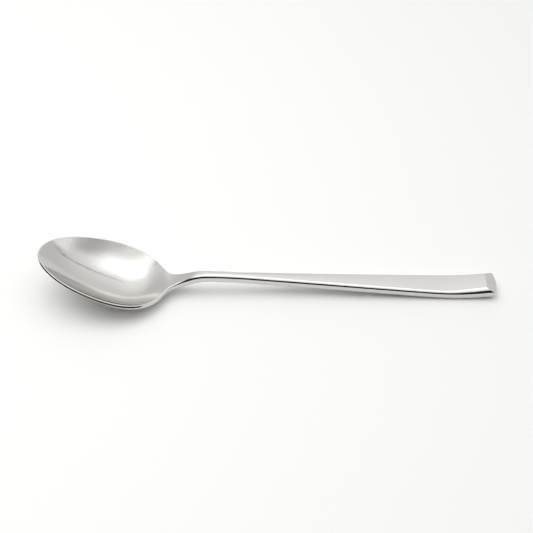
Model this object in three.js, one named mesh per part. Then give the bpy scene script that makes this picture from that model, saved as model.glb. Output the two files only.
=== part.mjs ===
// A long-handled teaspoon, forged in one piece from a single blank of stainless steel.
// Millimetres, +Z up. X runs from the tip of the bowl to the end of the handle, and Y across the spoon.
// The spoon lies on a table at Z = 0, on the underside of its bowl and the underside of its tail.
import * as THREE from 'three';

// Driving dimensions. Places along the spoon are measured in plan from the tip, and the tail's from the end.
const OVERALL_LENGTH = 180;

// The bowl: half an ellipse on each side of its widest place, and a hollow that fades towards the neck.
const BOWL_WIDTH = 34.25;
const TIP_TO_WIDEST = 29.1;
const WIDEST_TO_HEEL = 17.9;
const ELLIPSE_BLEND = 0.12; // how gently the two half ellipses run into each other
const BOWL_DEPTH = 8.35; // from the rim down to the inside, at the widest place
const BELLY_DEPTH = 7.97; // from the rim's lower edge down to the underside, at the same place
const BOWL_FULLNESS = 2.5; // 2 is a parabola across, and more is flatter below and steeper at the rim
const HOLLOW_FADES_FROM = 30;

// The rim: a narrow face square to the bowl's wall, a small round lip above it and a foot below it.
const RIM_THICKNESS = 0.74;
const RIM_CANT = 38; // in degrees: how far the face leans back
const RIM_ROUND = 0.35;
const RIM_FOOT = 0.15;
const RIM_LIP_TURN = 118; // in degrees: how far the lip rolls over into the bowl, and then the foot under it
const RIM_FOOT_TURN = 46;
const RIM_GROWS_FROM = 16; // where it starts to thicken beside the heel
const RIM_GROWS_TO = 39;
const HEEL_THICKNESS = 1.5;
const HEEL_FOOT = 0.75;

// The neck, where the thin rim grows into the full bar of the handle and its face turns upright.
const NECK_AT = 66;
const NECK_WIDTH = 3.45;
const SHOULDER_SIZE = 7.9; // the hollow curves where the bowl runs into the neck
const CANT_FADES_FROM = 34;
const CANT_FADES_TO = 52;
const THICKENS_FROM = 38;
const THICKENS_TO = 62;
const ROUND_GROWS_FROM = 44;
const ROUND_GROWS_TO = 66;

// The handle: a bar with a flat top and rounded sides that widens in a straight taper.
const HANDLE_WIDTH = 11; // where the taper has ended
const HANDLE_THICKNESS = 3.8;
const HANDLE_ROUND = 1.87;
const HANDLE_FOOT = 1.4;
const HANDLE_FOOT_TURN = 90;
const BRINK_TURN = 70; // in degrees: how far the rounded side has turned up where it meets the top face
const TAPER_FROM = 76.7;
const TAPER_BLEND = 0.25;

// The tail: the handle turns up a little, its sides grow rounder and a bevel slopes down to the end.
const TAIL_LENGTH = 17.7;
const FLARE_LENGTH = 22; // from where the sides start to grow rounder
const END_THICKNESS = 4.55;
const END_ROUND = 3.05;
const END_BEVEL_LENGTH = 4.2;
const END_BEVEL_DROP = 1.75;
const END_CROWN = 1; // how far the end bows out in plan

// The side profile of the rim and of the top face: four straight runs, with a soft bend between each two.
const RIM_FALL = 22.3; // in degrees, as the next three are
const NECK_RISE = 29.5;
const HANDLE_FALL = 4.05;
const TAIL_RISE = 7.8;
const HEEL_AT = 48.05;
const CREST_AT = 61.85;
const HEEL_BEND = 6.7;
const CREST_BEND = 2.2;
const TAIL_BEND = 1.05;

// How finely the surface is stepped.
const TIP_STEPS = 14;
const HEEL_STEPS = 22;
const HANDLE_STEPS = 9;
const TAIL_STEPS = 14;
const BEVEL_STEPS = 4;
const BOWL_STEPS_ACROSS = 18; // at its widest place, and fewer where it is narrow
const END_STEPS_ACROSS = 6;
const ROUND_STEPS = 4;
const FOOT_STEPS = 3;
const SETTLE_ROUNDS = 12;
const SLOPE_STEP = 0.001;

const STEEL_COLOUR = 0xc9c7c3;
const STEEL_ROUGHNESS = 0.2;

const TAIL_AT = OVERALL_LENGTH - TAIL_LENGTH;
const RIDGE_AT = OVERALL_LENGTH - END_BEVEL_LENGTH;
const { smoothstep, lerp, degToRad } = THREE.MathUtils;
const rise = (degrees) => Math.tan(degToRad(degrees));

// The larger or the smaller of two values, with a round corner where they cross.
const softMax = (a, b, corner) => (a + b + Math.hypot(a - b, corner)) / 2;
const softMin = (a, b, corner) => (a + b - Math.hypot(a - b, corner)) / 2;

// Where a station lies in the bowl's plan: -1 is the tip, 0 the widest place and 1 the heel.
function bowlPlace(u) {
  const place = (d) => softMax(d / TIP_TO_WIDEST, d / WIDEST_TO_HEEL, ELLIPSE_BLEND) - ELLIPSE_BLEND / 2;
  return place(u - TIP_TO_WIDEST) / -place(-TIP_TO_WIDEST);
}

function handleHalfWidth(u) {
  const narrow = NECK_WIDTH / 2;
  const full = HANDLE_WIDTH / 2;
  const taper = lerp(narrow, full, (u - TAPER_FROM) / (TAIL_AT - TAPER_FROM));
  return softMin(softMax(narrow, taper, TAPER_BLEND), full, TAPER_BLEND);
}

// The plan's half width, squared: the square is smooth at the tip, where the width itself is not.
function halfWidthSquared(u) {
  const bowl = (BOWL_WIDTH / 2) ** 2 * (1 - bowlPlace(u) ** 2);
  const joined = smoothstep(u, TIP_TO_WIDEST, TIP_TO_WIDEST + WIDEST_TO_HEEL);
  return softMax(bowl, joined * handleHalfWidth(u) ** 2, joined * SHOULDER_SIZE ** 2);
}

// A point of the plan's edge at a station, moved in from the edge, square to it.
function edgePoint(u, inset) {
  const half = Math.sqrt(Math.max(0, halfWidthSquared(u)));
  const fall = (halfWidthSquared(u - SLOPE_STEP) - halfWidthSquared(u + SLOPE_STEP)) / (4 * SLOPE_STEP);
  const normal = new THREE.Vector2(fall, half).normalize();
  return new THREE.Vector2(u, half).addScaledVector(normal, -inset);
}

// The height of the rim and of the handle's top face.
function topHeight(u) {
  const neck = (u - CREST_AT) * rise(NECK_RISE);
  const handle = (CREST_AT - u) * rise(HANDLE_FALL);
  const tail = (CREST_AT - TAIL_AT) * rise(HANDLE_FALL) + (u - TAIL_AT) * rise(TAIL_RISE);
  const rim = (HEEL_AT - CREST_AT) * rise(NECK_RISE) + (HEEL_AT - u) * rise(RIM_FALL);
  const bar = softMin(neck, softMax(handle, tail, TAIL_BEND), CREST_BEND);
  return softMax(rim, bar, HEEL_BEND);
}

// How far the forging has gone from the thin rim to the heel's, to the handle's bar and to the flared end.
// Each runs from 0 to 1.
const grown = (u) => smoothstep(u, RIM_GROWS_FROM, RIM_GROWS_TO);
const upright = (u) => smoothstep(u, CANT_FADES_FROM, CANT_FADES_TO);
const thickened = (u) => smoothstep(u, THICKENS_FROM, THICKENS_TO);
const rounded = (u) => smoothstep(u, ROUND_GROWS_FROM, ROUND_GROWS_TO);
const flare = (u) => smoothstep(u, OVERALL_LENGTH - FLARE_LENGTH, RIDGE_AT);

const rimThickness = (u) => lerp(RIM_THICKNESS, HEEL_THICKNESS, grown(u));
const thickness = (u) => lerp(lerp(rimThickness(u), HANDLE_THICKNESS, thickened(u)), END_THICKNESS, flare(u));
const roundRadius = (u) => lerp(lerp(RIM_ROUND, HANDLE_ROUND, rounded(u)), END_ROUND, flare(u));
const footRadius = (u) => lerp(lerp(RIM_FOOT, HEEL_FOOT, grown(u)), HANDLE_FOOT, thickened(u));
const footTurn = (u) => degToRad(lerp(RIM_FOOT_TURN, HANDLE_FOOT_TURN, thickened(u)));
const brinkTurn = (u) => degToRad(lerp(RIM_LIP_TURN, BRINK_TURN, upright(u)));
const faceCant = (u) => degToRad(lerp(RIM_CANT, 0, upright(u)));

// How far the hollow or the belly lies below the rim: nothing at the rim, and most in mid-bowl.
function hollow(depth, u, half, y) {
  const fade = 1 - smoothstep(u, HOLLOW_FADES_FROM, NECK_AT);
  const outward = 1 - (half ** 2 - y ** 2) / (BOWL_WIDTH / 2) ** 2;
  return depth * fade * (1 - outward ** (BOWL_FULLNESS / 2));
}

// Evenly stepped values from one to another, both included.
const stepped = (from, to, steps) => Array.from({ length: steps + 1 }, (_, i) => lerp(from, to, i / steps));

// The side's profile, from the top face down to the sole: how far it lies in from the widest line and below
// the top. A round runs down to a straight face, and a foot's round runs on from there. A cut takes off what
// lies less deep. A row across the end is as far under it as the foot's round is, and follows the top edge's
// own shape, wholly at that edge and not at all from the face down.
function sideProfile(u, cut) {
  const round = roundRadius(u);
  const foot = footRadius(u);
  const cant = faceCant(u);
  const brink = brinkTurn(u);
  const start = cut > 0 ? Math.asin(Math.sin(brink) - cut / round) : brink;
  const roundHeight = round * (Math.sin(brink) - Math.sin(cant));
  const footHeight = foot * (Math.sin(footTurn(u)) + Math.sin(cant));
  const faceHeight = thickness(u) - roundHeight - footHeight;
  const faceInset = foot * (1 - Math.cos(cant)) + faceHeight * Math.tan(cant);
  const upper = stepped(start, cant, ROUND_STEPS).map((turn) => ({
    inset: faceInset + round * (Math.cos(cant) - Math.cos(turn)),
    depth: round * (Math.sin(brink) - Math.sin(turn)),
    under: 0,
    follows: Math.sin(turn) / Math.sin(start),
  }));
  const lower = stepped(cant, -footTurn(u), FOOT_STEPS).map((turn) => ({
    inset: foot * (1 - Math.cos(turn)),
    depth: thickness(u) - foot * (Math.sin(footTurn(u)) + Math.sin(turn)),
    under: foot * (1 - Math.cos(turn)),
    follows: 0,
  }));
  return [...upper, ...lower];
}

// A row of points across the spoon, from a point of one side to its mirror image on the other.
function rowAcross(edge, steps, move) {
  const places = edge.y > 0 ? stepped(-edge.y, edge.y, steps) : [0];
  return places.map((y) => move(new THREE.Vector3(edge.x, y, edge.z)));
}

// The steps across a station's top and bottom: one on the flat handle, and in the bowl as its width allows.
function stepsAcross(u) {
  const share = (2 * edgePoint(u, 0).y) / BOWL_WIDTH;
  return u < NECK_AT ? Math.ceil(BOWL_STEPS_ACROSS * share) : 1;
}

// A cross-section: the points down its side, its top row and its bottom row.
function section(u) {
  const side = sideProfile(u, 0).map(({ inset, depth }) => {
    const { x, y } = edgePoint(u, inset);
    return new THREE.Vector3(x, y, topHeight(x) - depth);
  });
  const sunken = (edge, depth) => rowAcross(edge, stepsAcross(u), (point) => {
    point.z -= hollow(depth, edge.x, edge.y, point.y);
    return point;
  });
  return { side, top: sunken(side[0], BOWL_DEPTH), bottom: sunken(side.at(-1), BELLY_DEPTH) };
}

// A cross-section of the bevel, from 0 at its ridge to 1 at the end, where every row across bows out.
function bevelSection(place) {
  const bevelHeight = (x) => topHeight(RIDGE_AT) - ((x - RIDGE_AT) * END_BEVEL_DROP) / END_BEVEL_LENGTH;
  const reach = (under) => lerp(RIDGE_AT, OVERALL_LENGTH - END_CROWN - under, place);
  const corner = reach(0);
  const profile = sideProfile(corner, topHeight(corner) - bevelHeight(corner));
  const side = profile.map(({ inset, under, depth }) => {
    const x = reach(under);
    return new THREE.Vector3(x, edgePoint(x, inset).y, topHeight(x) - depth);
  });
  const rows = side.map((edge, level) => rowAcross(edge, END_STEPS_ACROSS, (point) => {
    point.x += place * END_CROWN * (1 - (point.y / edge.y) ** 2);
    point.z += profile[level].follows * (bevelHeight(point.x) - bevelHeight(corner));
    return point;
  }));
  return { side, rows, top: rows[0], bottom: rows.at(-1) };
}

// The stations of the loft, closest together round the tip.
function stations() {
  const run = (from, to, steps) => stepped(from, to, steps).slice(1);
  const tip = run(0, Math.PI / 2, TIP_STEPS).map((turn) => TIP_TO_WIDEST * (1 - Math.cos(turn)));
  const bend = TAIL_AT - TAIL_LENGTH;
  return [
    0,
    ...tip,
    ...run(TIP_TO_WIDEST, NECK_AT, HEEL_STEPS),
    ...run(NECK_AT, bend, HANDLE_STEPS),
    ...run(bend, RIDGE_AT, TAIL_STEPS),
  ];
}

// Triangles between two rows of points, which may differ in number.
function stitch(first, second) {
  const triangles = [];
  let i = 0;
  let j = 0;
  while (i + j < first.length + second.length - 2) {
    const firstNext = (i + 1) * (second.length - 1);
    const secondNext = (j + 1) * (first.length - 1);
    if (j === second.length - 1 || (i < first.length - 1 && firstNext <= secondNext)) {
      triangles.push(first[i], second[j], first[i + 1]);
      i += 1;
    } else {
      triangles.push(first[i], second[j], second[j + 1]);
      j += 1;
    }
  }
  return triangles;
}

const mirrored = (point) => point.clone().setY(-point.y);
const otherSide = ({ side }) => side.map(mirrored).reverse();
const sole = ({ bottom }) => [...bottom].reverse();

// The closed skin of the spoon: four strips between each two cross-sections, and the rows that close the end.
function spoonTriangles() {
  const bevel = stepped(0, 1, BEVEL_STEPS).slice(1).map(bevelSection);
  const cuts = [...stations().map(section), ...bevel];
  const strips = cuts.slice(1).flatMap((cut, i) => {
    const last = cuts[i];
    return [
      ...stitch(last.top, cut.top),
      ...stitch(last.side, cut.side),
      ...stitch(sole(last), sole(cut)),
      ...stitch(otherSide(last), otherSide(cut)),
    ];
  });
  const { rows } = cuts.at(-1);
  const end = rows.slice(1).flatMap((row, i) => stitch(rows[i], row));
  return [...strips, ...end];
}

// Triangles without those whose corners fall together, as they do at the tip.
function cleaned(points) {
  const kept = [];
  for (let i = 0; i < points.length; i += 3) {
    const [a, b, c] = points.slice(i, i + 3);
    const area = new THREE.Triangle(a, b, c).getArea();
    if (area > 0) kept.push(a, b, c);
  }
  return kept;
}

// The turn about Y that lays the spoon down, so that its bowl and its tail both touch the table.
function restingTurn(points) {
  let turn = 0;
  for (let round = 0; round < SETTLE_ROUNDS; round += 1) {
    const height = ({ x, z }) => z * Math.cos(turn) - x * Math.sin(turn);
    const lowest = (side) => side.reduce((a, b) => (height(b) < height(a) ? b : a));
    const bowl = lowest(points.filter(({ x }) => x < CREST_AT));
    const tail = lowest(points.filter(({ x }) => x > CREST_AT));
    turn = Math.atan2(tail.z - bowl.z, tail.x - bowl.x);
  }
  return turn;
}

const points = cleaned(spoonTriangles());
const geometry = new THREE.BufferGeometry().setFromPoints(points);
geometry.computeVertexNormals();
const steel = new THREE.MeshStandardMaterial({ color: STEEL_COLOUR, roughness: STEEL_ROUGHNESS, metalness: 1 });
const spoon = new THREE.Mesh(geometry, steel);
spoon.name = 'spoon';
spoon.rotation.y = restingTurn(points);

// The origin is under the middle of the spoon, on the table.
const box = new THREE.Box3().setFromObject(spoon, true);
spoon.position.set(-(box.min.x + box.max.x) / 2, 0, -box.min.z);

const teaspoon = new THREE.Group();
teaspoon.add(spoon);

export default teaspoon;
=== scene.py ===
import math

import bmesh
import bpy
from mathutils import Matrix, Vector


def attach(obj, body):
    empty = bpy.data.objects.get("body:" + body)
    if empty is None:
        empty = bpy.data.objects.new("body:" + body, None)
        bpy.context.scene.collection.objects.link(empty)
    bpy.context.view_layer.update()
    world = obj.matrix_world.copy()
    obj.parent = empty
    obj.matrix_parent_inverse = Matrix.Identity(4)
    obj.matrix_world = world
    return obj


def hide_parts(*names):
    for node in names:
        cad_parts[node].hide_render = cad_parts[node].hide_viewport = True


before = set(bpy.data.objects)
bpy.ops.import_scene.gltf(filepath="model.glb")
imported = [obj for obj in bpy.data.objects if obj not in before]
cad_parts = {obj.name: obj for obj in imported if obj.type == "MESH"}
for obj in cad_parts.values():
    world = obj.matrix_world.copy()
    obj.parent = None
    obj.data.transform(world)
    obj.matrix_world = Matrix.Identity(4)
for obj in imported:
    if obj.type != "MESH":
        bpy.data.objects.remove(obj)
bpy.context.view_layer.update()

bl_info = {
    "name": "Long-handled teaspoon",
    "version": (1, 0, 0),
    "blender": (4, 5, 0),
    "location": "3D View > Sidebar > Teaspoon",
    "description": "Builds a one-piece steel teaspoon and the white studio that it lies in",
    "category": "Add Mesh",
}

MM = 0.001
LENGTH_DIGITS = 5  # decimals that the panel shows
FACTOR_DIGITS = 4

# The sRGB curve: a straight foot, and a power above it.
HEX_MAX = 255
FOOT_END = 0.04045
FOOT_SLOPE = 12.92
CURVE_OFFSET = 0.055
CURVE_POWER = 2.4

# How finely the surface is stepped.
TIP_STEPS = 56
HEEL_STEPS = 84
HANDLE_STEPS = 60
TAIL_STEPS = 56
BEVEL_STEPS = 10
STEPS_ACROSS = 44
ROUND_STEPS = 9
FOOT_STEPS = 7
SLOPE_STEP = 0.001 * MM
MERGE_DISTANCE = 0.002 * MM
CREASE_ANGLE = math.radians(13)  # edges sharper than this stay crisp, and all others are smooth

# Sockets of a mix node that mixes colours, which share their names with those that mix numbers.
COLOUR_A = 6
COLOUR_B = 7
COLOUR_RESULT = 2

# The strokes' noise, whose mapping already gives a stroke its size.
NOISE_SCALE = 1.0
NOISE_DETAIL = 3.0  # finer strokes within a stroke

# What the camera sees of the room where no table is.
WHITE = (1, 1, 1, 1)
WHITE_STRENGTH = 1.0

# The room that the steel shows. A shape is a list of soft edges. Each edge is a direction, and how far a
# view reaches that way where the shape starts and where it is full.
SWEEP_TOP = [((0, 0, 1), 0.4, 0.95)]
SOFTBOX = [
    ((1, 0, 0.56), -0.15, 0.15),
    ((-1, 0, 0.96), -0.17, 0.17),
    ((0, 1, 0.52), -0.24, 0.22),
    ((0, -1, 0.32), -0.22, 0.16),
]
# The dark gap beyond the softbox's far edge, and its end on the right, which turns towards the camera.
SEAM = [
    ((0, 1, -0.58), 0, 0.02),
    ((0, -1, 0.67), 0, 0.02),
    ((-1.1, -1, 2.66), 0, 0.02),
    ((1, 0, -0.65), -0.5, 0.45),
]
SEAM_END = [((1.1, 1, -2.54), 0, 0.02), ((-1.1, -1, 2.66), 0, 0.02), ((0, -1, 0.67), 0, 0.02)]
# The sweep low down behind the table, and the brighter part of it straight behind the spoon.
HORIZON = [((0, 0.3, -1), 0, 0.1), ((0.5, 1, 0), 0, 0.3), ((-1, 1.1, 0), 0, 0.3)]
GLOW = [((0, 0.38, -1), 0, 0.12), ((1, 0.3, 0), 0, 0.2), ((-1, 0.45, 0), 0, 0.2)]
RIGHT_WALL = [((1, 0, -1.45), 0, 0.2), ((0, -1, 0.35), 0, 0.15), ((0, 1, 1), 0, 0.2)]
# Where light is missing: at the sides, in the corner on the right, and on the unlit side in front.
LEFT = [((-1, 0, -0.55), 0, 0.25)]
RIGHT = [((1, 0, -1.3), 0, 0.4)]
CORNER = [((1, 0, -0.7), 0, 0.28), ((-1, 0, 1.8), 0, 0.28), ((0, -1, 0.05), 0.03, 0.36)]
SHADE = [((1, -1, -1.25), 0, 0.35), ((-1, 0, 1.8), 0, 0.28)]
FRONT = [((-0.3, -1, 0), 0.05, 0.4), ((-0.3, 0.05, -1), -0.69, -0.63)]

# The photograph's frame.
PHOTO_WIDTH = 533  # pixels
SENSOR_WIDTH = 36 * MM


def length(name, description, millimetres):
    """A size that a user may change, given here in millimetres."""
    default = millimetres * MM
    return bpy.props.FloatProperty(
        name=name, description=description, default=default, unit="LENGTH", precision=LENGTH_DIGITS
    )


def angle(name, description, degrees):
    """An angle that a user may change, given here in degrees."""
    default = math.radians(degrees)
    return bpy.props.FloatProperty(name=name, description=description, default=default, subtype="ANGLE")


def factor(name, description, default):
    """A plain share or strength that a user may change."""
    return bpy.props.FloatProperty(
        name=name, description=description, default=default, min=0.0, precision=FACTOR_DIGITS
    )


def linear(hex_colour):
    """An sRGB hex colour such as c9c7c3 as the linear values that a shader takes."""
    channels = [channel / HEX_MAX for channel in bytes.fromhex(hex_colour)]
    return [
        c / FOOT_SLOPE if c <= FOOT_END else ((c + CURVE_OFFSET) / (1 + CURVE_OFFSET)) ** CURVE_POWER
        for c in channels
    ]


def colour(name, description, hex_colour):
    """A colour that a user may change, given here as sRGB hex."""
    default = linear(hex_colour)
    return bpy.props.FloatVectorProperty(
        name=name, description=description, default=default, subtype="COLOR", size=3, min=0.0, max=1.0
    )


class SpoonSizes(bpy.types.PropertyGroup):
    """The spoon's driving dimensions. Places are measured in plan from the tip, the tail's from the end."""

    overall_length: length("Overall length", "From the bowl's tip to the handle's end, in plan", 180)
    bowl_width: length("Bowl width", "Across the rim at its widest place", 34.25)
    tip_to_widest: length("Tip to widest", "From the tip to the bowl's widest place", 29.1)
    widest_to_heel: length(
        "Widest to heel", "From the widest place to where the bowl's oval would close", 17.9
    )
    ellipse_blend: factor("Oval blend", "How gently the bowl's two half ovals run into each other", 0.12)
    bowl_depth: length("Bowl depth", "From the rim down to the inside, at the widest place", 8.35)
    belly_depth: length(
        "Belly depth", "From the rim's lower edge down to the underside, at the same place", 7.97
    )
    bowl_fullness: factor(
        "Bowl fullness", "2 is a parabola across, and more is flatter below and steeper at the rim", 2.5
    )
    hollow_fades_from: length(
        "Hollow fades from", "Where the hollow starts to run out towards the neck", 30
    )
    rim_thickness: length("Rim thickness", "Height of the rim's edge round the tip", 0.74)
    rim_cant: angle("Rim cant", "How far the rim's edge leans back, square to the bowl's wall", 38)
    rim_grows_from: length("Rim grows from", "Where the rim starts to thicken beside the heel", 16)
    rim_grows_to: length("Rim grows to", "Where the rim has the heel's thickness", 39)
    heel_thickness: length("Heel thickness", "Height of the rim's edge beside the heel", 1.5)
    heel_foot: length("Heel foot", "Radius of the edge there below its widest line", 0.75)
    cant_fades_from: length("Cant fades from", "Where the edge starts to turn upright", 34)
    cant_fades_to: length("Cant fades to", "Where the edge stands upright, as it does along the handle", 52)
    rim_round: length("Rim round", "Radius of the rim's lip", 0.35)
    rim_lip_turn: angle("Rim lip turn", "How far the lip rolls over into the bowl", 118)
    rim_foot: length("Rim foot", "Radius of the rim's edge below its widest line", 0.15)
    rim_foot_turn: angle("Rim foot turn", "How far the edge rolls under, to meet the bowl's wall", 46)
    neck_at: length("Neck", "Where the hollow has run out and the neck is slimmest", 66)
    neck_width: length("Neck width", "Across the slimmest place", 3.45)
    shoulder_size: length(
        "Shoulder size", "Size of the hollow curves where the bowl runs into the neck", 7.9
    )
    thickens_from: length("Thickens from", "Where the rim starts to grow into the bar of the handle", 38)
    thickens_to: length("Thickens to", "Where the bar has its full thickness", 62)
    round_grows_from: length("Round grows from", "Where the rim's small round starts to grow", 44)
    round_grows_to: length("Round grows to", "Where the side has the handle's full round", 66)
    handle_width: length("Handle width", "Across the handle where its taper has ended", 11)
    handle_thickness: length("Handle thickness", "From the handle's top face to its sole", 3.8)
    handle_crown: length(
        "Handle crown", "How much higher the top face is in its middle than at its edges", 0.1
    )
    handle_round: length("Handle round", "Radius of the handle's side above its widest line", 1.87)
    handle_foot: length("Handle foot", "Radius of the handle's side below its widest line", 1.4)
    handle_foot_turn: angle(
        "Handle foot turn", "How far the handle's side rolls under, to meet the sole", 90
    )
    brink_turn: angle("Brink turn", "How far the side has turned up where it meets the top face", 70)
    taper_from: length("Taper from", "Where the handle starts to widen", 76.7)
    taper_blend: length("Taper blend", "How gently the taper starts and ends", 0.25)
    tail_length: length("Tail length", "The part at the end that turns up a little", 17.7)
    flare_length: length("Flare length", "From where the sides start to grow rounder", 22)
    end_thickness: length("End thickness", "Thickness of the handle at its end", 4.55)
    end_round: length("End round", "Radius of the side at the end", 3.05)
    end_bevel_length: length("End bevel length", "From the bevel's ridge to the end", 4.2)
    end_bevel_drop: length("End bevel drop", "How far the bevel falls", 1.75)
    end_crown: length("End crown", "How far the end bows out in plan", 1)
    rim_fall: angle("Rim fall", "How steeply the rim falls from the tip to the heel", 22.3)
    neck_rise: angle("Neck rise", "How steeply the neck rises from the heel to the crest", 29.5)
    handle_fall: angle("Handle fall", "How steeply the handle falls from the crest to the tail", 4.05)
    tail_rise: angle("Tail rise", "How steeply the tail rises to the end", 7.8)
    heel_at: length("Heel", "Where the rim line and the neck line cross", 48.05)
    crest_at: length("Crest", "Where the neck line and the handle line cross", 61.85)
    heel_bend: length("Heel bend", "Softness of the bend at the heel", 6.7)
    crest_bend: length("Crest bend", "Softness of the bend at the crest", 2.2)
    tail_bend: length("Tail bend", "Softness of the bend at the tail", 1.05)


class SteelFinish(bpy.types.PropertyGroup):
    """The look of the polished stainless steel."""

    tone: colour("Tone", "What the steel reflects of white light", "d3d1ce")
    worn_tone: colour("Worn tone", "The slightly duller tone between the polisher's strokes", "cdcbc8")
    gloss: factor("Gloss roughness", "Roughness of the best polished patches", 0.07)
    haze: factor("Haze roughness", "Roughness of the most handled patches", 0.13)
    stroke_width: length("Stroke width", "Width of a stroke left by the polishing wheel", 0.8)
    stroke_length: length("Stroke length", "Length of a stroke left by the polishing wheel", 16)
    stroke_depth: length("Stroke depth", "Depth of a stroke left by the polishing wheel", 0.016)


class StudioSettings(bpy.types.PropertyGroup):
    """The table, the light and the camera."""

    table_colour: colour("Table colour", "The plain pale table", "f6f6f4")
    table_roughness: factor("Table roughness", "Roughness of the table's matt lacquer", 0.9)
    table_size: length("Table size", "Side of the square table", 3000)
    lamp_power: factor("Lamp power", "Power of the softbox over the table, in watts", 1.1)
    lamp_width: length("Lamp width", "Size of the softbox along the spoon", 500)
    lamp_depth: length("Lamp depth", "Size of the softbox across the spoon", 400)
    lamp_height: length("Lamp height", "Height of the softbox over the table", 500)
    lamp_left: length("Lamp set left", "How far to the left of the spoon's middle the softbox hangs", 240)
    lamp_back: length("Lamp set back", "How far behind the spoon the softbox hangs", 40)
    fill_share: factor(
        "Fill share", "Share of the room's brightness that falls on the table as light", 0.78
    )
    sweep_level: factor(
        "Sweep level", "Brightness of the white sweep near the table, as the steel shows it", 0.9
    )
    sweep_gain: factor("Sweep gain", "How much brighter the sweep is high up", 0.35)
    softbox_gain: factor("Softbox gain", "How much brighter than the sweep the softbox is", 0.56)
    seam_loss: factor("Seam loss", "How much darker the gap between softbox and sweep is", 0.76)
    wall_gain: factor("Wall gain", "How much brighter the white wall on the right is", 0.42)
    horizon_gain: factor("Horizon gain", "How much brighter the sweep is low down behind the table", 0.14)
    glow_gain: factor("Glow gain", "How much brighter still the sweep is straight behind the spoon", 0.4)
    side_loss: factor("Side loss", "Share of the light that is missing at the left and right", 0.15)
    corner_loss: factor(
        "Corner loss", "Share of the light that is missing in the corner on the right", 0.26
    )
    front_loss: factor("Front loss", "Share of the light that is missing on the unlit side in front", 0.98)
    camera_height: angle("Camera elevation", "How high the camera stands above the table's plane", 47)
    camera_turn: angle("Camera azimuth", "How far the camera stands round from square in front", -0.246)
    camera_distance: length("Camera distance", "From the camera to the point that it looks at", 552)
    pixels_per_millimetre: factor("Pixels per millimetre", "Scale of the photograph at that point", 2.551)
    aim_x: length("Aim along", "Where the camera looks, along the spoon", -1.239)
    aim_z: length("Aim height", "Where the camera looks, above the table", 13.95)


class TeaspoonSettings(bpy.types.PropertyGroup):
    """Everything that the panel shows."""

    sizes: bpy.props.PointerProperty(name="Spoon", description="Sizes of the spoon", type=SpoonSizes)
    steel: bpy.props.PointerProperty(name="Steel", description="Finish of the steel", type=SteelFinish)
    studio: bpy.props.PointerProperty(
        name="Studio", description="Table, light and camera", type=StudioSettings
    )


def lerp(a, b, share):
    """The value that lies this share of the way from one value to another."""
    return (1 - share) * a + share * b


def smoothstep(value, low, high):
    """A smooth rise from 0 at one value to 1 at another."""
    share = min(1.0, max(0.0, (value - low) / (high - low)))
    return share * share * (3 - 2 * share)


def stepped(start, stop, steps):
    """Evenly stepped values from one to another, both included."""
    return [lerp(start, stop, i / steps) for i in range(steps + 1)]


def soft_max(a, b, corner):
    """The larger of two values, with a round corner where they cross."""
    return (a + b + math.hypot(a - b, corner)) / 2


def soft_min(a, b, corner):
    """The smaller of two values, with a round corner where they cross."""
    return (a + b - math.hypot(a - b, corner)) / 2


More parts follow.
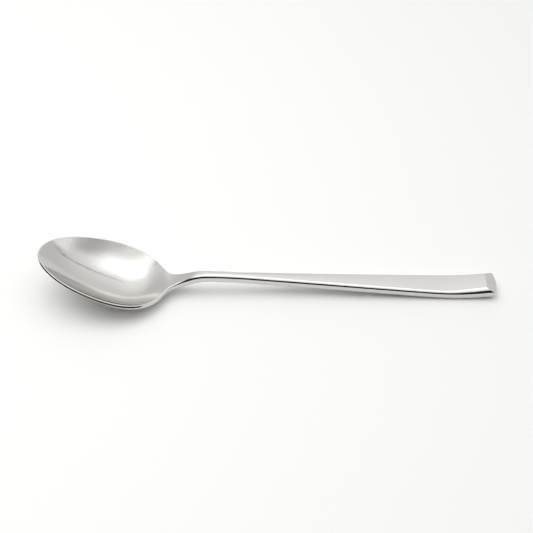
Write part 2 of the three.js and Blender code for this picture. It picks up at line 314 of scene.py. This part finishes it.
class SpoonShape:
    """The spoon's surface, worked out from its sizes."""

    def __init__(self, sizes):
        self.sizes = sizes
        self.tail_at = sizes.overall_length - sizes.tail_length
        self.ridge_at = sizes.overall_length - sizes.end_bevel_length

    def bowl_place(self, u):
        """Where a station lies in the bowl's plan: -1 is the tip, 0 the widest place and 1 the heel."""
        s = self.sizes

        def place(d):
            blend = s.ellipse_blend
            return soft_max(d / s.tip_to_widest, d / s.widest_to_heel, blend) - blend / 2

        return place(u - s.tip_to_widest) / -place(-s.tip_to_widest)

    def handle_half_width(self, u):
        """The handle's half width: narrow at the neck, then a straight taper, then full."""
        s = self.sizes
        narrow = s.neck_width / 2
        full = s.handle_width / 2
        taper = lerp(narrow, full, (u - s.taper_from) / (self.tail_at - s.taper_from))
        return soft_min(soft_max(narrow, taper, s.taper_blend), full, s.taper_blend)

    def half_width_squared(self, u):
        """The plan's half width, squared: the square is smooth at the tip, where the width is not."""
        s = self.sizes
        bowl = (s.bowl_width / 2) ** 2 * (1 - self.bowl_place(u) ** 2)
        joined = smoothstep(u, s.tip_to_widest, s.tip_to_widest + s.widest_to_heel)
        return soft_max(bowl, joined * self.handle_half_width(u) ** 2, joined * s.shoulder_size ** 2)

    def edge_line(self, u):
        """The plan's edge at a station and the direction square to it, both in plan."""
        half = math.sqrt(max(0.0, self.half_width_squared(u)))
        before = self.half_width_squared(u - SLOPE_STEP)
        after = self.half_width_squared(u + SLOPE_STEP)
        # The square's slope is twice the half width times the edge's own slope.
        outward = Vector(((before - after) / (4 * SLOPE_STEP), half)).normalized()
        return Vector((u, half)), outward

    def top_height(self, u):
        """The height of the rim and of the handle's top face."""
        s = self.sizes
        neck = (u - s.crest_at) * math.tan(s.neck_rise)
        handle = (s.crest_at - u) * math.tan(s.handle_fall)
        tail = (s.crest_at - self.tail_at) * math.tan(s.handle_fall)
        tail += (u - self.tail_at) * math.tan(s.tail_rise)
        rim = (s.heel_at - s.crest_at) * math.tan(s.neck_rise)
        rim += (s.heel_at - u) * math.tan(s.rim_fall)
        bar = soft_min(neck, soft_max(handle, tail, s.tail_bend), s.crest_bend)
        return soft_max(rim, bar, s.heel_bend)

    def along(self, u, rim, handle, end, grown):
        """A size that goes from the rim's value to the handle's, and then to the end's."""
        flare = smoothstep(u, self.sizes.overall_length - self.sizes.flare_length, self.ridge_at)
        return lerp(lerp(rim, handle, grown), end, flare)

    def hollow(self, depth, u, half, y):
        """How far the hollow or the belly lies below the rim: 0 at the rim, and most in the middle."""
        s = self.sizes
        fade = 1 - smoothstep(u, s.hollow_fades_from, s.neck_at)
        outward = 1 - (half ** 2 - y ** 2) / (s.bowl_width / 2) ** 2
        return depth * fade * (1 - outward ** (s.bowl_fullness / 2))

    def side_profile(self, u, cut):
        """The side from the top face down to the sole, where a cut takes off what is less deep.

        Each point has its inset from the widest line, its depth below the top, how far a row across the end
        lies under the end, and how much that row follows the top edge.
        """
        s = self.sizes
        thickened = smoothstep(u, s.thickens_from, s.thickens_to)
        rounded = smoothstep(u, s.round_grows_from, s.round_grows_to)
        upright = smoothstep(u, s.cant_fades_from, s.cant_fades_to)
        grown = smoothstep(u, s.rim_grows_from, s.rim_grows_to)
        rim = lerp(s.rim_thickness, s.heel_thickness, grown)
        thickness = self.along(u, rim, s.handle_thickness, s.end_thickness, thickened)
        radius = self.along(u, s.rim_round, s.handle_round, s.end_round, rounded)
        foot = lerp(lerp(s.rim_foot, s.heel_foot, grown), s.handle_foot, thickened)
        foot_turn = lerp(s.rim_foot_turn, s.handle_foot_turn, thickened)
        cant = lerp(s.rim_cant, 0, upright)
        brink = lerp(s.rim_lip_turn, s.brink_turn, upright)
        start = math.asin(math.sin(brink) - cut / radius) if cut else brink
        round_height = radius * (math.sin(brink) - math.sin(cant))
        foot_height = foot * (math.sin(foot_turn) + math.sin(cant))
        face_height = thickness - round_height - foot_height
        face_inset = foot * (1 - math.cos(cant)) + face_height * math.tan(cant)
        profile = []
        for turn in stepped(start, cant, ROUND_STEPS):
            inset = face_inset + radius * (math.cos(cant) - math.cos(turn))
            depth = radius * (math.sin(brink) - math.sin(turn))
            profile.append((inset, depth, 0.0, math.sin(turn) / math.sin(start)))
        for turn in stepped(cant, -foot_turn, FOOT_STEPS):
            inset = foot * (1 - math.cos(turn))
            depth = thickness - foot * (math.sin(foot_turn) + math.sin(turn))
            profile.append((inset, depth, inset, 0.0))
        return profile

    def section(self, u):
        """A cross-section: the points down its side, its top row and its bottom row."""
        edge, outward = self.edge_line(u)
        side = []
        for inset, depth, _, _ in self.side_profile(u, 0):
            x, y = edge - inset * outward
            side.append(Vector((x, max(0.0, y), self.top_height(x) - depth)))
        rows = []
        for corner, depth in ((side[0], self.sizes.bowl_depth), (side[-1], self.sizes.belly_depth)):
            row = [Vector((corner.x, y, corner.z)) for y in stepped(-corner.y, corner.y, STEPS_ACROSS)]
            for point in row:
                point.z -= self.hollow(depth, corner.x, corner.y, point.y)
            rows.append(row)
        crown = self.sizes.handle_crown * smoothstep(u, self.sizes.round_grows_from, self.sizes.neck_at)
        self.crown(rows[0], crown)
        return side, rows

    def crown(self, row, height):
        """Raises the middle of a row across the top."""
        if not height:
            return
        for point in row:
            point.z += height * (1 - (point.y / row[-1].y) ** 2)

    def bevel_section(self, place):
        """A cross-section of the bevel, from 0 at its ridge to 1 at the end, where each row bows out."""
        s = self.sizes
        slope = s.end_bevel_drop / s.end_bevel_length
        corner = lerp(self.ridge_at, s.overall_length - s.end_crown, place)
        fallen = self.top_height(self.ridge_at) - (corner - self.ridge_at) * slope
        side = []
        rows = []
        for inset, depth, under, follows in self.side_profile(corner, self.top_height(corner) - fallen):
            x = lerp(self.ridge_at, s.overall_length - s.end_crown - under, place)
            half = self.edge_line(x)[0].y - inset
            side.append(Vector((x, half, self.top_height(x) - depth)))
            row = []
            for y in stepped(-half, half, STEPS_ACROSS):
                bow = place * s.end_crown * (1 - (y / half) ** 2)
                row.append(Vector((x + bow, y, side[-1].z - follows * bow * slope)))
            rows.append(row)
        self.crown(rows[0], s.handle_crown * (1 - place))
        return side, rows

    def stations(self):
        """The places of the cross-sections, closest together round the tip."""
        s = self.sizes
        bend = self.tail_at - s.tail_length  # closer steps start well before the tail bends
        turns = stepped(0, math.pi / 2, TIP_STEPS)
        places = [s.tip_to_widest * (1 - math.cos(turn)) for turn in turns]
        places += stepped(s.tip_to_widest, s.neck_at, HEEL_STEPS)[1:]
        places += stepped(s.neck_at, bend, HANDLE_STEPS)[1:]
        places += stepped(bend, self.ridge_at, TAIL_STEPS)[1:]
        return places


def ring(side, rows):
    """One closed loop round the spoon: over the top, down one side, under the sole and up the other."""
    between = side[1:-1]
    other = [Vector((p.x, -p.y, p.z)) for p in reversed(between)]
    return rows[0] + between + rows[-1][::-1] + other


def bridge(mesh, rows, first_face):
    """Faces between neighbouring rows of points: from 0 round closed loops, and from 1 along open rows."""
    grid = [[mesh.verts.new(point) for point in row] for row in rows]
    for first, second in zip(grid, grid[1:]):
        for j in range(first_face, len(first)):
            mesh.faces.new((first[j - 1], second[j - 1], second[j], first[j]))


def spoon_mesh(sizes):
    """The spoon as one closed mesh, lying on the table under the frame's origin."""
    shape = SpoonShape(sizes)
    bevel = [shape.bevel_section(place) for place in stepped(0, 1, BEVEL_STEPS)[1:]]
    loops = [ring(*shape.section(u)) for u in shape.stations()]
    loops += [ring(*section) for section in bevel]
    end_rows = bevel[-1][1]
    mesh = bmesh.new()
    bridge(mesh, loops, 0)
    bridge(mesh, end_rows, 1)
    bmesh.ops.remove_doubles(mesh, verts=mesh.verts, dist=MERGE_DISTANCE)
    bmesh.ops.dissolve_degenerate(mesh, edges=mesh.edges, dist=MERGE_DISTANCE)
    bmesh.ops.recalc_face_normals(mesh, faces=mesh.faces)
    lowest = min(vertex.co.z for vertex in mesh.verts)
    bmesh.ops.translate(mesh, verts=mesh.verts, vec=(-sizes.overall_length / 2, 0, -lowest))
    for face in mesh.faces:
        face.smooth = True
    for edge in mesh.edges:
        edge.smooth = edge.is_manifold and edge.calc_face_angle() < CREASE_ANGLE
    return mesh


def add_node(tree, kind, settings=(), links=()):
    """A node with its settings, given by attribute or by input, and with its linked inputs."""
    node = tree.nodes.new(kind)
    for name, value in dict(settings).items():
        if isinstance(name, int) or name in node.inputs.keys():
            node.inputs[name].default_value = value
        else:
            setattr(node, name, value)
    for name, output in dict(links).items():
        tree.links.new(output, node.inputs[name])
    return node


def polished_stainless_steel(steel):
    """Polished stainless steel: drop forged, ground, and buffed lengthwise on a cloth wheel."""
    # A mirror with a slight warm grey tone. The wheel leaves faint lengthwise strokes, which soften and
    # ripple what it reflects, and dull it a little between them.
    material = bpy.data.materials.new("polished_stainless_steel")
    material.use_nodes = True
    tree = material.node_tree
    tree.nodes.clear()
    place = add_node(tree, "ShaderNodeTexCoord").outputs["Object"]
    stretch = (1 / steel.stroke_length, 1 / steel.stroke_width, 1 / steel.stroke_width)
    strokes_at = add_node(tree, "ShaderNodeMapping", {"Scale": stretch}, {"Vector": place})
    grain = {"Scale": NOISE_SCALE, "Detail": NOISE_DETAIL}
    noise = add_node(tree, "ShaderNodeTexNoise", grain, {"Vector": strokes_at.outputs["Vector"]})
    strokes = noise.outputs["Fac"]
    tones = {"data_type": "RGBA", COLOUR_A: (*steel.tone, 1), COLOUR_B: (*steel.worn_tone, 1)}
    tone = add_node(tree, "ShaderNodeMix", tones, {"Factor": strokes})
    haze_range = {"To Min": steel.gloss, "To Max": steel.haze}
    haze = add_node(tree, "ShaderNodeMapRange", haze_range, {"Value": strokes})
    relief = add_node(tree, "ShaderNodeBump", {"Distance": steel.stroke_depth}, {"Height": strokes})
    look = {
        "Base Color": tone.outputs[COLOUR_RESULT],
        "Roughness": haze.outputs["Result"],
        "Normal": relief.outputs["Normal"],
    }
    shader = add_node(tree, "ShaderNodeBsdfPrincipled", {"Metallic": 1.0}, look)
    add_node(tree, "ShaderNodeOutputMaterial", (), {"Surface": shader.outputs["BSDF"]})
    return material


class TEASPOON_OT_spoon(bpy.types.Operator):
    """Builds the one-piece spoon in place of the solid"""

    bl_idname = "teaspoon.spoon"
    bl_label = "Forge the spoon"

    def execute(self, context):
        settings = context.scene.teaspoon
        mesh = spoon_mesh(settings.sizes)
        data = bpy.data.meshes.new("spoon_forging")
        mesh.to_mesh(data)
        mesh.free()
        data.materials.append(polished_stainless_steel(settings.steel))
        spoon = bpy.data.objects.new("spoon_forging", data)
        context.collection.objects.link(spoon)
        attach(spoon, "root")
        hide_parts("spoon")
        return {"FINISHED"}


class TEASPOON_OT_studio(bpy.types.Operator):
    """Lays the table, hangs the light and sets the camera at the photograph's angle"""

    bl_idname = "teaspoon.studio"
    bl_label = "Set the studio"

    def execute(self, context):
        studio = context.scene.teaspoon.studio
        lay_table(context, studio)
        paint_room(context, studio)
        hang_softbox(context, studio)
        set_camera(context, studio)
        context.scene.view_settings.view_transform = "Standard"
        return {"FINISHED"}


def lay_table(context, studio):
    """A plain pale table, lacquered matt."""
    half = studio.table_size / 2
    data = bpy.data.meshes.new("table")
    corners = [(-half, -half, 0), (half, -half, 0), (half, half, 0), (-half, half, 0)]
    data.from_pydata(corners, [], [range(len(corners))])
    table = bpy.data.objects.new("table", data)
    material = bpy.data.materials.new("matt_white_lacquer")
    material.use_nodes = True
    shader = material.node_tree.nodes["Principled BSDF"]
    shader.inputs["Base Color"].default_value = (*studio.table_colour, 1)
    shader.inputs["Roughness"].default_value = studio.table_roughness
    data.materials.append(material)
    context.collection.objects.link(table)


def work_out(tree, operation, settings, links):
    """The result of a math node, whose inputs are given by their order."""
    node = add_node(tree, "ShaderNodeMath", {"operation": operation, **settings}, links)
    return node.outputs["Value"]


def soft_shape(tree, toward, edges):
    """The share, 0 to 1, of a soft shape in the room, which lies inside all of its edges."""
    share = None
    for direction, outside, inside in edges:
        dot = {"operation": "DOT_PRODUCT", 1: direction}
        reach = add_node(tree, "ShaderNodeVectorMath", dot, {0: toward})
        limits = {"interpolation_type": "SMOOTHSTEP", "From Min": outside, "From Max": inside}
        ramp = add_node(tree, "ShaderNodeMapRange", limits, {"Value": reach.outputs["Value"]})
        edge = ramp.outputs["Result"]
        share = work_out(tree, "MULTIPLY", {}, {0: share, 1: edge}) if share else edge
    return share


def paint_room(context, studio):
    """The room round the table: white to the camera, dimmer to matt things, and as drawn to the steel."""
    world = bpy.data.worlds.new("studio_room")
    context.scene.world = world
    world.use_nodes = True
    tree = world.node_tree
    tree.nodes.clear()
    toward = add_node(tree, "ShaderNodeTexCoord").outputs["Generated"]
    gains = (
        (SWEEP_TOP, studio.sweep_gain),
        (SOFTBOX, studio.softbox_gain),
        (SEAM, -studio.seam_loss),
        (SEAM_END, -studio.seam_loss),
        (RIGHT_WALL, studio.wall_gain),
        (HORIZON, studio.horizon_gain),
        (GLOW, studio.glow_gain),
    )
    losses = (
        (LEFT, studio.side_loss),
        (RIGHT, studio.side_loss),
        (CORNER, studio.corner_loss),
        (SHADE, studio.side_loss),
        (FRONT, studio.front_loss),
    )
    level = None
    for edges, gain in gains:
        links = {0: soft_shape(tree, toward, edges)}
        if level:
            links[2] = level
        level = work_out(tree, "MULTIPLY_ADD", {1: gain, 2: studio.sweep_level}, links)
    for edges, loss in losses:
        kept = work_out(tree, "MULTIPLY_ADD", {1: -loss, 2: 1.0}, {0: soft_shape(tree, toward, edges)})
        level = work_out(tree, "MULTIPLY", {}, {0: level, 1: kept})
    path = add_node(tree, "ShaderNodeLightPath").outputs
    shown = work_out(tree, "MAXIMUM", {}, {0: path["Is Glossy Ray"], 1: path["Is Transmission Ray"]})
    fill = work_out(tree, "MULTIPLY", {1: studio.fill_share}, {0: level})
    lit = add_node(tree, "ShaderNodeMix", (), {"Factor": shown, "A": fill, "B": level})
    seen = {"Factor": path["Is Camera Ray"], "A": lit.outputs["Result"]}
    strength = add_node(tree, "ShaderNodeMix", {"B": WHITE_STRENGTH}, seen)
    light = {"Strength": strength.outputs["Result"]}
    background = add_node(tree, "ShaderNodeBackground", {"Color": WHITE}, light)
    add_node(tree, "ShaderNodeOutputWorld", (), {"Surface": background.outputs["Background"]})


def hang_softbox(context, studio):
    """The lamp over the table. The steel shows the room's softbox, so it doesn't show the lamp as well."""
    data = bpy.data.lights.new("softbox", "AREA")
    data.shape = "RECTANGLE"
    data.size = studio.lamp_width
    data.size_y = studio.lamp_depth
    data.energy = studio.lamp_power
    lamp = bpy.data.objects.new("softbox", data)
    lamp.location = (-studio.lamp_left, studio.lamp_back, studio.lamp_height)
    lamp.visible_camera = False
    lamp.visible_glossy = False
    context.collection.objects.link(lamp)


def set_camera(context, studio):
    """The camera at the photograph's angle."""
    turn = studio.camera_turn
    height = studio.camera_height
    level = math.cos(height)
    away = Vector((math.sin(turn) * level, -math.cos(turn) * level, math.sin(height)))
    aim = Vector((studio.aim_x, 0, studio.aim_z))
    data = bpy.data.cameras.new("camera")
    data.sensor_width = SENSOR_WIDTH / MM
    focal_pixels = studio.pixels_per_millimetre * studio.camera_distance / MM
    data.lens = data.sensor_width * focal_pixels / PHOTO_WIDTH
    camera = bpy.data.objects.new("camera", data)
    camera.location = aim + studio.camera_distance * away
    camera.rotation_euler = away.to_track_quat("Z", "Y").to_euler()
    context.collection.objects.link(camera)
    context.scene.camera = camera


class TEASPOON_PT_panel(bpy.types.Panel):
    """Lists the spoon's sizes and finish and the steps that build it"""

    bl_idname = "TEASPOON_PT_panel"
    bl_label = "Teaspoon"
    bl_space_type = "VIEW_3D"
    bl_region_type = "UI"
    bl_category = "Teaspoon"

    def draw(self, context):
        settings = context.scene.teaspoon
        for group in (settings.sizes, settings.steel, settings.studio):
            box = self.layout.box()
            for name in group.__annotations__:
                box.prop(group, name)
        self.layout.operator(TEASPOON_OT_spoon.bl_idname)
        self.layout.operator(TEASPOON_OT_studio.bl_idname)


CLASSES = (
    SpoonSizes,
    SteelFinish,
    StudioSettings,
    TeaspoonSettings,
    TEASPOON_OT_spoon,
    TEASPOON_OT_studio,
    TEASPOON_PT_panel,
)


def register():
    for cls in CLASSES:
        bpy.utils.register_class(cls)
    bpy.types.Scene.teaspoon = bpy.props.PointerProperty(type=TeaspoonSettings)


def unregister():
    del bpy.types.Scene.teaspoon
    for cls in reversed(CLASSES):
        bpy.utils.unregister_class(cls)


def main():
    """Builds the spoon and its studio."""
    register()
    bpy.ops.teaspoon.spoon()
    bpy.ops.teaspoon.studio()


if __name__ == "__main__":
    main()
